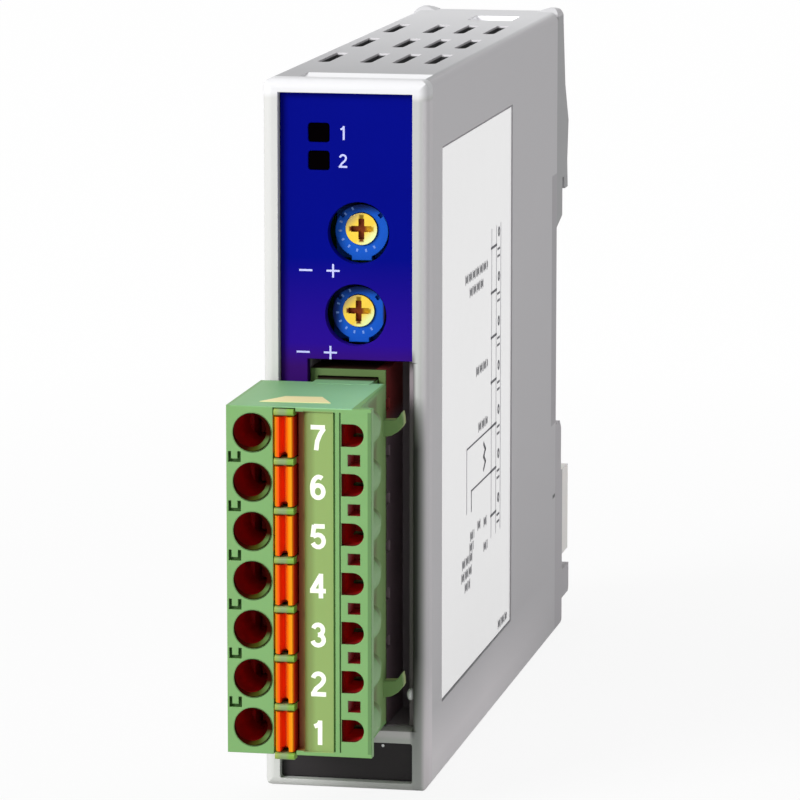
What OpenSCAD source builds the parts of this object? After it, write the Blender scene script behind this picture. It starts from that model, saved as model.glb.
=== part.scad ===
// Slim signal converter for a 35 mm rail: a hollow grey housing with a blue
// adjusting panel, and a green seven-pole spring-clamp plug in front.
// Millimetres. X is the width, Y runs from the front to the rail, Z is up.
// The origin is on the base plane, in the middle of the bounding box.

/* [Housing] */
// Width of the housing, one rail module
body_w = 17.5; // [17:0.5:22]
// Height of the housing
body_h = 75; // [73:0.5:84]
// Depth from the front face to the face of the rail
body_d = 85; // [80:1:110]
// Thickness of the side walls
side_wall = 1.65; // [1.2:0.05:1.8]
// Thickness of the top wall
top_wall = 1.4; // [1.1:0.05:1.8]
// Thickness of the bottom wall
floor_wall = 0.9; // [0.8:0.05:1.2]
// Thickness of the wall behind the circuit board
back_wall = 1.6; // [1.2:0.1:2.4]
// Rounding of the long outer edges
edge_r = 1; // [0.5:0.1:1.1]
// Depth of the front frame, up to its joint with the housing
frame_d = 2.6; // [2.2:0.1:3.2]

/* [Vents] */
// Length of one vent slot
vent_l = 10; // [6:0.5:12]
// Width of one vent slot
vent_w = 1.3; // [0.8:0.1:1.6]
// Distance between two rows of vents
vent_row = 17.5; // [14:0.5:19]

/* [Rail seat] */
// Height of the mounting rail
rail_h = 35; // [34.5:0.1:35.5]
// Thickness of the rail's lip
rail_t = 1; // [0.8:0.1:1.5]
// How far the fixed hook and the latch reach over a lip
lip_grip = 1.1; // [0.7:0.1:1.5]
// Depth of the relief between the two rail pads
relief_d = 4; // [2.5:0.1:4.5]
// Height of the rail's middle above the base
rail_z = 37.1; // [36.6:0.1:37.6]
// How far the latch slides down to let the rail go
latch_travel = 1.5; // [1.3:0.1:1.8]

/* [Front panel] */
// Height of the lower window under the crossbar
window_h = 4.3; // [3:0.1:4.5]
// Height of the crossbar
bar_h = 1.3; // [1:0.1:2]
// How far the panel lies behind the front face
panel_in = 0.9; // [0.5:0.1:1.1]
// Thickness of the panel
panel_t = 1.2; // [0.8:0.1:1.3]
// Diameter of the adjusting holes
trim_hole = 6.5; // [6.4:0.1:7.2]
// Diameter of a trimmer's round base
trim_d = 5.6; // [5.2:0.1:5.9]
// Diameter of a trimmer's rotor
rotor_d = 3.35; // [2.8:0.05:3.8]
// Distance between the two trimmers
trim_pitch = 8.6; // [8:0.1:9.4]
// Width of an indicator
led_w = 2.1; // [1.6:0.1:2.6]
// Height of an indicator
led_h = 1.85; // [1.4:0.05:2.1]

/* [Plug] */
// Distance between two poles
pitch = 5.08; // [5:0.02:5.2]
// Width of the plug's front
plug_w = 15; // [14.6:0.1:15.4]
// How far the plug's front stands before the housing
plug_out = 17; // [15:0.5:20]
// Diameter of a wire entry
wire_d = 4; // [3.4:0.1:4.1]
// Length of the wire entry
wire_l = 8; // [6:0.5:8.5]
// Width of a lever
lever_w = 2.05; // [1.8:0.05:2.2]
// How far a lever travels when it is pressed
lever_travel = 1.3; // [0.8:0.1:1.4]
// Depth to which the plug's nose enters the header
nose_l = 10; // [8:0.5:10.5]

/* [Electronics] */
// Thickness of a circuit board
board_t = 1.6; // [1:0.1:1.6]
// Thickness of a contact pin
pin_t = 1; // [0.8:0.05:1.1]

/* [Hidden] */
POLES = 7;
$fn = 48;

// Clearances: between fitted pieces, of moving pieces, of a turning rotor
fit = 0.1;
run = 0.15;
turn = 0.05;
// Overlap that makes a cut pass its face
over = 1;

// Lay-out across the width
half_w = body_w/2;
open_x = half_w - side_wall;
header_w = 8;
header_x = -half_w + 8.65;
header_l = header_x - header_w/2;
header_r = header_x + header_w/2;
header_t = 0.75;
led_x = -2.93;
trim_x = [1.25, 0.95];

// Lay-out over the height, from the base
window_top = floor_wall + window_h;
window_r = 0.25;
bay_lo = window_top + bar_h;
bay_hi = bay_lo + POLES*pitch + 3.64;
plug_z = (bay_lo + bay_hi)/2 - 0.5;
plug_h = POLES*pitch + 0.4;
header_h = plug_h + 1.9;
nose_gap = 0.17;
open_top = body_h - top_wall;
panel_lo = bay_hi;
trim_low_z = panel_lo + 4.7;
trim_z = [trim_low_z + trim_pitch, trim_low_z];
rotor_up = 0.25;
led_z = [open_top - 4.2, open_top - 7.1];

// Lay-out along the depth, from the front face
back_y = body_d - relief_d;
inner_back = back_y - back_wall;
panel_back = panel_in + panel_t;
cover_back = frame_d - 0.4;
tongue = 0.95;
rim_r = side_wall - edge_r;
trim_front = panel_back + 0.5;
trim_bore = 1.9;
board_front = trim_front + 4.4;
front_board_t = 1.2;
hook_t = 2.55;
slot_y = body_d + rail_t + 0.35;
bridge_y = body_d + 6;
plug_back = -1;
nose_end = plug_back + nose_l;
header_front = 2;
header_floor = nose_end + 1;
header_back = header_floor + 1.2;
lever_proud = 0.3;
tray_t = 1;
tray_back = header_back + tray_t;

// Vents, ramp and tool pocket on the top
vent_x = [-half_w + 2.55, -half_w + 7.15, half_w - 6.85, half_w - 3.4];
vent_y = frame_d + 20.6;
ramp_x = -half_w + 3.45;
ramp_in = 0.45;
ramp_l = 4.5;
pocket_x = [-0.1, 5.1];
pocket_y = [inner_back - 9.4, inner_back - 3.2];
pocket_in = 0.6;
vent_lead = 0.6;
catch_x = 2;

// Label in its shallow seat on the right side
label_y = [8, 50.5];
label_z = [8, 67.4];
label_in = 0.3;

// Electronics, on the right face of the main board
board_l = -half_w + 4.35;
board_r = board_l + board_t;
board_low = floor_wall + fit;
board_high = open_top - fit;
fixing_d = 2.6;
trafo = [board_front + 26, board_low + 45];
stand_off = 1.4;
bobbin = [open_x - board_r - stand_off - 1.5, 9, 10.6];
core = [bobbin[0] - 1, 14, 16];
core_window = [bobbin[1] + 2*fit, bobbin[2] + 2*fit];
can_1_size = [8, 11.5];
can_1 = [inner_back - 27.4, board_high - 11.5];
can_2_size = [6.3, 11];
can_2 = [inner_back - 25.4, board_high - 23.5];
chip_size = [7.5, 10.4, 2.4];
chip = [tray_back + 15.8, board_low + 22];
isolator_size = [6.4, 6.8, 3.4];
isolator_y = tray_back + 31.8;
isolator_z = [board_low + 17, board_low + 26];
fuse_size = [8.4, 6.7];
fuse_at = [inner_back - 17.4, board_low + 23];

// Plug, across the width and along the depth
plug_l = -half_w;
plug_r = plug_l + plug_w;
wire_x = plug_l + 2.67;
lever_x = plug_l + 6;
lever_dz = -0.35;
lever_h = pitch - 0.98;
strip_l = plug_l + 7.9;
strip_r = plug_l + 11.05;
strip_in = 0.2;
strip_edge = 0.75;
groove_w = 0.8;
groove_in = 1.4;
ridge_w = 0.43;
test_x = plug_l + 13.05;
test_r = 1.16;
boss_r = 1.94;
block_r = plug_l + 13.25;
block_draft = 0.45;
rim_t = 1.1;
chamber_y = -plug_out + wire_l;
chamber_h = 3.9;
clamp_y = chamber_y + 2;
lever_end = clamp_y - lever_travel - 0.3;
lever_gap = pitch - lever_h - 2*run;
lever_top = pole_z(POLES) + lever_dz + pitch/2 + lever_gap/2;

// Place of the front face, so that the origin is in the middle of the box
front_y = (plug_out + lever_proud - bridge_y)/2;

// Rail seat, and the raised corners at the back of the top
ear_h = 0.4;
ear_w = 1.4;
notch_x = half_w - 2.6;
rail_top = rail_z + rail_h/2;
rail_low = rail_z - rail_h/2;
hook_z = rail_top - lip_grip;
nose_z = rail_low + lip_grip;
pad_h = 3.1;
bridge_lo = 3.5;
bridge_h = 3.5;
bridge_t = 2.4;
latch_half = 4.4;
latch_wide = half_w - run;
latch_floor = body_d - 2.2;
latch_low = bridge_lo + 0.1;
stop_z = 9.7;
stop_h = 1.2;
spring_top = 17.5;
spring_y = latch_floor + 1.75;
spring_r = 1.05;
spring_wire = 0.4;

// Colours
grey = "#c9c9c9";
dark = "#2a2628";
blue = "#0a1396";
green = "#7fbb76";
orange = "#ff8a10";
brass = "#e5bb4a";
steel = "#b9b9b4";
laminate = "#2f6b45";

function pole_z(i) = plug_z + (i - (POLES + 1)/2)*pitch;

// Draws its children with Y measured from the front face of the housing
module at_front() {
    translate([0, front_y, 0]) children();
}

// A box given by its low and high corners
module span(lo, hi) {
    translate(lo) cube(hi - lo);
}

// A rectangle from (x0, y0) to (x1, y1) with rounded corners
module round_rect(x0, y0, x1, y1, r) {
    translate([x0 + r, y0]) square([x1 - x0 - 2*r, y1 - y0]);
    translate([x0, y0 + r]) square([x1 - x0, y1 - y0 - 2*r]);
    for (x = [x0 + r, x1 - r], y = [y0 + r, y1 - r]) translate([x, y]) circle(r);
}

// A profile drawn in X and Z, extruded from y0 to y1
module along_y(y0, y1) {
    translate([0, y1, 0]) rotate([90, 0, 0]) linear_extrude(y1 - y0) children();
}

// A profile drawn in Y and Z, extruded from x0 to x1
module along_x(x0, x1) {
    translate([x0, 0, 0]) rotate([90, 0, 90]) linear_extrude(x1 - x0) children();
}

// A round bar along Y
module bar_y(x, z, y0, y1, d) {
    translate([x, y1, z]) rotate([90, 0, 0]) cylinder(h = y1 - y0, d = d);
}

// The outer form of the housing with its frame: edges rounded on all sides
module outer_form() {
    intersection() {
        along_y(0, back_y) round_rect(-half_w, 0, half_w, body_h, edge_r);
        translate([0, 0, -over])
            linear_extrude(body_h + 2*over)
                round_rect(-half_w, 0, half_w, back_y + 2*edge_r, edge_r);
        along_x(-half_w - over, half_w + over)
            round_rect(0, 0, back_y + 2*edge_r, body_h, edge_r);
    }
}

// Side view of the rear: the hook over the rail, the two pads, the bridge
module rear_profile() {
    y0 = inner_back;
    polygon([
        [y0, 0], [body_d + 1, 0],
        [body_d + 1, bridge_lo], [bridge_y - 0.4, bridge_lo], [bridge_y, bridge_lo + 0.4],
        [bridge_y, bridge_lo + bridge_h], [body_d + 1, bridge_lo + bridge_h],
        [body_d + 1, rail_low - 0.3], [body_d, rail_low],
        [body_d, rail_low + pad_h + 2], [body_d - 1, rail_low + pad_h + 3],
        [back_y, rail_low + pad_h + 3],
        [back_y, rail_top - pad_h - 2], [body_d, rail_top - pad_h - 1],
        [body_d, rail_top + 0.4], [slot_y, rail_top + 0.4],
        [slot_y, hook_z + 0.5], [slot_y + 0.4, hook_z], [slot_y + hook_t, hook_z],
        [slot_y + hook_t - 0.4, rail_top + 2.2], [slot_y + hook_t + 0.4, rail_top + 6.9],
        [body_d + 1.8, body_h - 9], [body_d + 0.2, body_h - edge_r],
        [body_d - 0.8, body_h], [y0, body_h]]);
}

// Raised corners at the back of the top, sloping towards the middle
module ears() {
    y0 = body_d - 3.5;
    low = body_h - 1.5;
    for (s = [-1, 1]) intersection() {
        along_y(y0, body_d + over) round_rect(-half_w, 0, half_w, body_h + ear_h, edge_r);
        along_y(y0, body_d + over)
            polygon([[s*half_w, low], [s*notch_x, low], [s*notch_x, body_h],
                [s*(half_w - ear_w), body_h + ear_h], [s*half_w, body_h + ear_h]]);
        along_x(-half_w, half_w)
            polygon([[y0, low], [y0, body_h - 0.2], [body_d - 2, body_h + ear_h], [body_d - 0.8, body_h + ear_h],
                [body_d - 0.1, body_h + 0.6*ear_h], [body_d + 0.25, body_h - 0.6], [body_d + 0.25, low]]);
    }
}

module rear_block() {
    chan = latch_half + run;
    difference() {
        intersection() {
            along_x(-half_w, half_w) rear_profile();
            along_y(inner_back - over, bridge_y + over) round_rect(-half_w, 0, half_w, body_h, edge_r);
        }
        // Hollow between the two cheeks above the hook
        span([-notch_x, body_d - 0.6, rail_top + 3.4], [notch_x, bridge_y + over, body_h + over]);
        // Channel of the latch, open at the base
        span([-chan, latch_floor - run, -over], [chan, bridge_y - bridge_t, nose_z + 0.6]);
        span([-chan, latch_floor, bridge_lo + bridge_h], [chan, bridge_y + over, nose_z + 0.6]);
    }
    ears();
    // Stop that holds the lower end of the latch's spring
    span([-1.2, latch_floor - run - 0.2, stop_z], [1.2, latch_floor + 3, stop_z + stop_h]);
}

module vents(z0, z1) {
    for (k = [0:2], x = vent_x)
        translate([x, vent_y + k*vent_row, z0])
            linear_extrude(z1 - z0)
                round_rect(-vent_w/2, -vent_l/2, vent_w/2, vent_l/2, vent_w/2 - 0.01);
}

// Sloping far end of each vent in the top
module vent_leads() {
    for (k = [0:2], x = vent_x)
        translate([0, vent_y + k*vent_row + vent_l/2, body_h])
            along_x(x - vent_w/2, x + vent_w/2)
                polygon([[-vent_w/2, 0.01], [-vent_w/2, -vent_lead], [-0.1, -vent_lead], [vent_lead - 0.1, 0.01]]);
}

// Rails that guide the edges of the main board
module board_guides() {
    for (x = [board_l - 0.9, board_r + fit/2], z = [floor_wall - 0.2, open_top - 1])
        span([x, tray_back + 2, z], [x + 0.85, inner_back + 0.2, z + 1.2]);
}

module case_body() {
    color(grey) at_front() difference() {
        union() {
            difference() {
                union() {
                    difference() {
                        outer_form();
                        span([-half_w - over, -over, -over], [half_w + over, frame_d, body_h + over]);
                    }
                    rear_block();
                }
                span([-open_x, frame_d - over, floor_wall], [open_x, inner_back, open_top]);
            }
            board_guides();
        }
        vents(open_top - 2, body_h + over);
        vents(-over, floor_wall + 2);
        vent_leads();
        // Shallow ramp on top, behind the joint with the frame
        along_x(ramp_x, half_w - 0.8)
            polygon([[frame_d - over, body_h - ramp_in], [frame_d, body_h - ramp_in],
                [frame_d + ramp_l, body_h + 0.01], [frame_d - over, body_h + 0.01]]);
        // Pocket for a tool near the back of the top, deepest at its back
        along_x(pocket_x[0], pocket_x[1])
            polygon([[pocket_y[0], body_h + 0.01], [pocket_y[1], body_h - pocket_in],
                [pocket_y[1], body_h + 0.01]]);
        // Seat of the label on the right side
        span([half_w - label_in, label_y[0], label_z[0]], [half_w + over, label_y[1], label_z[1]]);
        // Catches of the frame's tongues
        for (z = [floor_wall, open_top])
            span([-catch_x, frame_d + 1, z - 0.4], [catch_x, frame_d + 2.2, z + 0.4]);
    }
}

module front_frame() {
    color(grey) at_front() {
        difference() {
            intersection() {
                outer_form();
                span([-half_w, 0, 0], [half_w, frame_d, body_h]);
            }
            along_y(-over, frame_d + over) union() {
                translate([-open_x, bay_lo]) square([2*open_x, open_top - bay_lo]);
                round_rect(-open_x, floor_wall, open_x, window_top, window_r);
            }
            // Rounded inner edge of the rim beside the plug
            difference() {
                span([open_x - 0.01, -over, bay_lo], [open_x + rim_r, rim_r, panel_lo]);
                translate([open_x + rim_r, rim_r, bay_lo - over])
                    cylinder(h = panel_lo - bay_lo + 2*over, r = rim_r);
            }
        }
        // Tongues behind the joint, above the panel and under the lower window
        span([-open_x + tongue, panel_back, open_top - tongue], [open_x - tongue, frame_d + 3, open_top - fit]);
        span([-open_x, panel_back, open_top - tongue], [open_x, frame_d, open_top]);
        span([-open_x + tongue, cover_back, floor_wall + fit],
            [open_x - tongue, frame_d + 3, floor_wall + tongue]);
        span([-open_x, cover_back, floor_wall], [open_x, frame_d, floor_wall + tongue]);
    }
}

module front_panel() {
    x0 = -open_x + fit;
    x1 = open_x - fit;
    strip = header_l - fit;
    color(blue) at_front() difference() {
        along_y(panel_in, panel_back)
            polygon([[x0, bay_lo + fit], [strip, bay_lo + fit], [strip, panel_lo], [x1, panel_lo],
                [x1, open_top - fit], [x0, open_top - fit]]);
        for (k = [0, 1]) bar_y(trim_x[k], trim_z[k], panel_in - over, panel_back + over, trim_hole);
        for (z = led_z)
            along_y(panel_in - over, panel_back + over)
                round_rect(led_x - led_w/2 - fit, z - led_h/2 - fit,
                    led_x + led_w/2 + fit, z + led_h/2 + fit, 0.35);
    }
}

module lower_cover() {
    color(dark) at_front()
        along_y(panel_in, cover_back)
            round_rect(-open_x + fit, floor_wall + fit, open_x - fit, window_top - fit, window_r - fit);
}

module status_led(z) {
    collar = panel_back + 0.4;
    color("#1c1418") at_front() {
        along_y(panel_in + 0.15, collar)
            round_rect(led_x - led_w/2, z - led_h/2, led_x + led_w/2, z + led_h/2, 0.25);
        span([led_x - led_w/2, collar, z - led_h/2], [led_x + led_w/2, board_front, z + led_h/2]);
    }
}

module status_led_1() { status_led(led_z[0]); }
module status_led_2() { status_led(led_z[1]); }

module trimmer_base(x, z) {
    block = 3;
    tab = [1.05, trim_d/2 + 0.25];
    color("#2468b8") at_front() difference() {
        union() {
            bar_y(x, z, trim_front, board_front, trim_d);
            span([x - block, trim_front + 1.6, z - block], [x + block, board_front, z + block]);
            // Tab at the foot of the round part, at the middle of the scale
            span([x - tab[0], trim_front, z - tab[1]], [x + tab[0], board_front, z]);
        }
        bar_y(x, z + rotor_up, trim_front - over, trim_front + trim_bore, rotor_d + 2*turn);
        // Notches in the rim at the two ends of the adjusting range
        for (a = [-40, 220]) translate([x, trim_front, z]) rotate([0, a, 0])
            translate([trim_d/2 - 0.4, -over, -0.25]) cube([1, over + 0.5, 0.5]);
    }
}

module trimmer_base_1() { trimmer_base(trim_x[0], trim_z[0]); }
module trimmer_base_2() { trimmer_base(trim_x[1], trim_z[1]); }

module trimmer_rotor(x, z) {
    slot = 0.62;
    face = trim_front - 0.25;
    color(brass) at_front() difference() {
        bar_y(x, z, face, trim_front + trim_bore - turn, rotor_d);
        for (a = [0, 90]) translate([x, face, z]) rotate([0, a, 0])
            translate([-rotor_d*0.32, -over, -slot/2]) cube([rotor_d*0.64, over + 0.7, slot]);
    }
}

module trimmer_rotor_1() { trimmer_rotor(trim_x[0], trim_z[0] + rotor_up); }
module trimmer_rotor_2() { trimmer_rotor(trim_x[1], trim_z[1] + rotor_up); }

// Black tray that lines the bay right of the blue strip and carries the header
module terminal_bay() {
    x1 = open_x - fit;
    y0 = frame_d + fit;
    z0 = bay_lo - tray_t + fit;
    z1 = panel_lo + tray_t - fit;
    color(dark) at_front() difference() {
        union() {
            span([header_l - tray_t, y0, z0], [x1, tray_back, z1]);
            span([-x1, y0, z0], [x1, y0 + tray_t, z1]);
            span([-x1, header_back, z0], [x1, tray_back, z1]);
        }
        span([header_l - fit/2, -over, z0 + tray_t], [x1 - 0.7, header_back, z1 - tray_t]);
        for (i = [1:POLES])
            span([header_x - pin_t, header_back - over, pole_z(i) - pin_t],
                [header_x + pin_t, tray_back + over, pole_z(i) + pin_t]);
    }
}

module header_shell() {
    z0 = plug_z - header_h/2;
    z1 = plug_z + header_h/2;
    t = header_t;
    color(green) at_front() difference() {
        span([header_l, header_front, z0], [header_r, header_back, z1]);
        span([header_l + t, header_front - over, z0 + t], [header_r - t, header_floor, z1 - t]);
        for (i = [1:POLES])
            span([header_x - pin_t/2, header_floor - over, pole_z(i) - pin_t/2],
                [header_x + pin_t/2, header_back + over, pole_z(i) + pin_t/2]);
        // Keying slots in the right wall
        for (i = [1:POLES])
            span([header_r - t - over, header_front - over, pole_z(i) - 0.6],
                [header_r + over, header_front + 2.2, pole_z(i) + 0.6]);
    }
}

// Bent contact pins, from inside the header to the main board
module header_pins() {
    bend_y = tray_back + 2.6;
    color(steel) at_front() for (i = [1:POLES]) {
        z0 = pole_z(i) - pin_t/2;
        span([header_x - pin_t/2, nose_end - 5.5, z0], [header_x + pin_t/2, bend_y + pin_t, z0 + pin_t]);
        span([board_r, bend_y, z0], [header_x, bend_y + pin_t, z0 + pin_t]);
    }
}

module main_board() {
    back = inner_back - fit;
    step_y = board_front + front_board_t + fit;
    step_z = panel_lo + tray_t;
    low_y = tray_back + 3*fit;
    color(laminate) at_front() difference() {
        along_x(board_l, board_r)
            polygon([[low_y, board_low], [back, board_low], [back, board_high],
                [step_y, board_high], [step_y, step_z], [low_y, step_z]]);
        // Fixing holes near the two back corners
        for (z = [board_low + 4, board_high - 4]) translate([board_l - over, back - 4.9, z])
            rotate([0, 90, 0]) cylinder(h = board_t + 2*over, d = fixing_d);
    }
}

module front_board() {
    color(laminate) at_front()
        span([-open_x + 0.5, board_front, panel_lo + tray_t + fit],
            [open_x - 0.5, board_front + front_board_t, open_top - 1.2]);
}

module board_link() {
    y0 = board_front + front_board_t;
    z0 = panel_lo + 6;
    color(dark) at_front() span([board_r, y0, z0], [board_r + 2.5, y0 + 2.6, z0 + 10]);
}

// Ferrite core: two back bars and two limbs around the winding
module transformer_core() {
    x0 = board_r + stand_off;
    color("#3a3836") at_front() translate([x0, trafo[0], trafo[1]]) difference() {
        span([0, -core[1]/2, -core[2]/2], [core[0], core[1]/2, core[2]/2]);
        span([-over, -core_window[0]/2, -core_window[1]/2],
            [core[0] + over, core_window[0]/2, core_window[1]/2]);
    }
}

// Coil former with its winding, and the feet that stand on the board
module transformer_bobbin() {
    color("#c9a227") at_front() translate([board_r + stand_off, trafo[0], trafo[1]]) {
        span([0, -bobbin[1]/2, -bobbin[2]/2], [bobbin[0], bobbin[1]/2, bobbin[2]/2]);
        for (s = [-1, 1])
            translate([0, 0, s*(bobbin[2]/2 - 1)])
                span([-stand_off, -bobbin[1]/2, -1], [fit, bobbin[1]/2, 1]);
    }
}

// Electrolytic can that lies on the board, with its crimp groove and bung
module can(size, at) {
    d = size[0];
    l = size[1];
    color("#31363c") at_front() translate([board_r + d/2, at[0], at[1]]) rotate([-90, 0, 0])
        rotate_extrude() polygon([[0, 0], [d/2 - 0.8, 0], [d/2, 0.6], [d/2, 1.6], [d/2 - 0.4, 2],
            [d/2, 2.4], [d/2, l - 0.3], [d/2 - 0.3, l], [0, l]]);
}

module capacitor_1() { can(can_1_size, can_1); }
module capacitor_2() { can(can_2_size, can_2); }

// Small-outline package: bent legs along two sides and a moulded body
module package(y, z, size, legs) {
    wide = size[0];
    long = size[1];
    high = size[2];
    step = long/legs;
    translate([board_r, y, z]) {
        span([0.15, -wide/2, -long/2], [high, wide/2, long/2]);
        for (k = [0:legs - 1], s = [-1, 1])
            translate([0, s*(wide/2 + 0.45), -long/2 + (k + 0.5)*step])
                translate([0, -0.55, -0.2]) cube([high*0.5, 1.1, 0.4]);
    }
}

module converter_chip() {
    color(dark) at_front() package(chip[0], chip[1], chip_size, 8);
}

module isolators() {
    color("#e8e6df") at_front() for (z = isolator_z) package(isolator_y, z, isolator_size, 3);
}

module fuse() {
    r = fuse_size[0]/2;
    l = fuse_size[1];
    color("#8a4a2a") at_front() translate([board_r, fuse_at[0], fuse_at[1]]) rotate([0, 90, 0])
        rotate_extrude() polygon([[0, 0], [r - 0.3, 0], [r, 0.3], [r, l - 0.5], [r - 0.5, l], [0, l]]);
}

module side_label() {
    margin = 0.25;
    color("#e6e6e8") at_front()
        span([half_w - label_in, label_y[0] + margin, label_z[0] + margin],
            [half_w - label_in + 0.2, label_y[1] - margin, label_z[1] - margin]);
}

// Ivory slide that grips the lower lip of the rail
module rail_latch() {
    x = latch_half;
    y0 = latch_floor;
    nose_y = bridge_y;
    under = bridge_y - bridge_t - run;
    nose_low = bridge_lo + bridge_h + latch_travel + 2*run;
    top = spring_top + 0.02;
    color("#efe9d6") at_front() difference() {
        union() {
            along_x(-x, x) polygon([
                [y0, latch_low], [under, latch_low], [under, nose_low], [nose_y, nose_low],
                [nose_y, nose_z - 1.2], [nose_y - 0.8, nose_z], [slot_y, nose_z],
                [slot_y, rail_low - 0.6], [y0, rail_low - 0.6]]);
            // Wide grip behind the housing
            span([-latch_wide, body_d + 1 + 2*run, nose_low], [latch_wide, nose_y, rail_low - 0.4]);
        }
        // Pocket of the spring and of the stop
        span([-1.35, y0 - over, stop_z - run], [1.35, y0 + 3.4, top]);
        // Slot for the tip of a tool
        span([-1.6, y0 + 1.2, latch_low - over], [1.6, y0 + 2.4, latch_low + 2.2]);
    }
}

spring_turns = 6;
spring_steps = 14;
spring_sides = 6;
function coil_point(k, j, low, high) =
    let (a = 360*k/spring_steps, b = 360*j/spring_sides, n = spring_turns*spring_steps,
        r = spring_r + spring_wire/2*cos(b))
    [r*cos(a), r*sin(a), low + (high - low)*k/n + spring_wire/2*sin(b)];

// Helical spring that pushes the latch up
module latch_spring() {
    n = spring_turns*spring_steps;
    s = spring_sides;
    low = stop_z + stop_h + spring_wire/2 + 0.02;
    high = spring_top - spring_wire/2 - 0.02;
    pts = [for (k = [0:n], j = [0:s - 1]) coil_point(k, j, low, high)];
    sides = [for (k = [0:n - 1], j = [0:s - 1])
        [k*s + j, (k + 1)*s + j, (k + 1)*s + (j + 1)%s, k*s + (j + 1)%s]];
    ends = [[for (j = [0:s - 1]) j], [for (j = [0:s - 1]) n*s + s - 1 - j]];
    color(steel) at_front() translate([0, spring_y, 0])
        polyhedron(points = pts, faces = concat(sides, ends));
}

module plug_body() {
    z0 = plug_z - plug_h/2;
    z1 = plug_z + plug_h/2;
    f = -plug_out;
    nose_w = header_w - 2*header_t - 2*nose_gap;
    nose_h = header_h - 2*header_t - 2*nose_gap;
    color(green) at_front() difference() {
        union() {
            translate([0, 0, z0]) linear_extrude(z1 - z0)
                polygon([[plug_l, f], [block_r + block_draft, f], [block_r, plug_back], [plug_l, plug_back]]);
            span([block_r - over, f, z0], [plug_r, f + rim_t, z1]);
            span([header_x - nose_w/2, plug_back - over, plug_z - nose_h/2],
                [header_x + nose_w/2, nose_end, plug_z + nose_h/2]);
            // Rounded boss around each test hole, tapering towards the back
            for (i = [1:POLES]) {
                bar_y(test_x - 0.05, pole_z(i), f + rim_t/2, f + 5, 2*boss_r);
                translate([test_x - 0.05, f + 5, pole_z(i)]) rotate([-90, 0, 0])
                    cylinder(h = 4, r1 = boss_r, r2 = 1.2);
            }
            for (z = [pole_z(1) + 1.14, pole_z(POLES) - 1.74]) latch_finger(z);
        }
        for (i = [1:POLES]) pole_cuts(pole_z(i));
        for (i = [1:POLES - 1]) gap_cuts(pole_z(i) + pitch/2);
        strip_cuts(z0 + 0.45, z1 - 0.45);
        // Seat of the bars between the levers
        span([lever_x - lever_w/2 - run, f - over, z0 - over],
            [lever_x + lever_w/2 + run, f + rim_t, lever_top + fit]);
    }
}

// Rounded bar that stands proud before the wall between two levers
module lever_bar(z) {
    h = lever_gap/2;
    f = -plug_out;
    p = lever_proud;
    along_x(lever_x - lever_w/2, lever_x + lever_w/2)
        polygon([[f + rim_t, z - h], [f - p*0.3, z - h], [f - p*0.8, z - h*0.7], [f - p, z - h*0.3],
            [f - p, z + h*0.3], [f - p*0.8, z + h*0.7], [f - p*0.3, z + h], [f + rim_t, z + h]]);
}

// One bar at each boundary of the levers
module lever_bars() {
    color(green) at_front()
        for (i = [0:POLES]) lever_bar(pole_z(i) + pitch/2 + lever_dz);
}

// Everything that is cut for one pole
module pole_cuts(z) {
    f = -plug_out;
    zl = z + lever_dz;
    // Round entry of the wire
    bar_y(wire_x, z, f - over, chamber_y, wire_d);
    // Inner chamber with the clamp
    span([plug_l + 1.1, chamber_y - 0.01, z - chamber_h/2], [header_x + 2, plug_back - 1, z + chamber_h/2]);
    // Pocket of the lever
    span([lever_x - lever_w/2 - run, f - over, zl - lever_h/2 - run],
        [lever_x + lever_w/2 + run, lever_end + lever_travel + run, zl + lever_h/2 + run]);
    // Way of the pin through the nose
    span([header_x - 1.25, plug_back - 1 - over, z - 1.25], [header_x + 1.25, nose_end - 1.4, z + 1.25]);
    span([header_x - 0.85, nose_end - 1.4 - over, z - 0.85], [header_x + 0.85, nose_end + over, z + 0.85]);
    // Test hole with a flat left side
    bar_y(test_x, z, f - over, f + 7, 2*test_r);
    span([test_x - test_r, f - over, z - test_r], [test_x, f + 7, z + test_r]);
}

// The small cuts between two poles: a square hole and a hooked mark
module gap_cuts(z) {
    f = -plug_out;
    span([test_x - 0.5, f - over, z - 0.6], [test_x + 0.8, f + 3, z + 0.6]);
    difference() {
        span([plug_l + 0.2, f - over, z - 0.55], [plug_l + 1.5, f + 0.7, z + 0.55]);
        span([plug_l + 0.5, f - 2*over, z - 0.2], [plug_l + 1.15, f + over, z + over]);
    }
}

// Cuts along the number strip: the deep groove on its left, the strip's rounded
// left edge and sunk face, and two fine grooves with a ridge on its right
module strip_cuts(z0, z1) {
    f = -plug_out;
    span([strip_l - groove_w, f - over, z0], [strip_l, f + groove_in, z1]);
    span([strip_l - 0.01, f - over, z0], [strip_r, f + strip_in, z1]);
    difference() {
        span([strip_l - 0.01, f - over, z0], [strip_l + strip_edge, f + strip_in + strip_edge, z1]);
        translate([strip_l + strip_edge, f + strip_in + strip_edge, z0 - over])
            cylinder(h = z1 - z0 + 2*over, r = strip_edge);
    }
    span([strip_r - 0.01, f - over, z0], [strip_r + 0.22, f + strip_in + 0.3, z1]);
    span([strip_r + 0.22 + ridge_w, f - over, z0], [strip_r + 0.36 + ridge_w, f + 0.3, z1]);
}

// Release finger on the right side of the plug: an arm that turns up into a tip
module latch_finger(z) {
    along_y(plug_back - 1.6, plug_back) translate([block_r, z])
        polygon([[-0.5, -0.87], [0.88, -0.68], [1.62, -0.23], [1.98, 0.2], [2.14, 0.52],
            [2.1, 1.25], [1.98, 1.83], [1.72, 1.4], [1.3, 0.96], [-0.5, 0.85]]);
}

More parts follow.
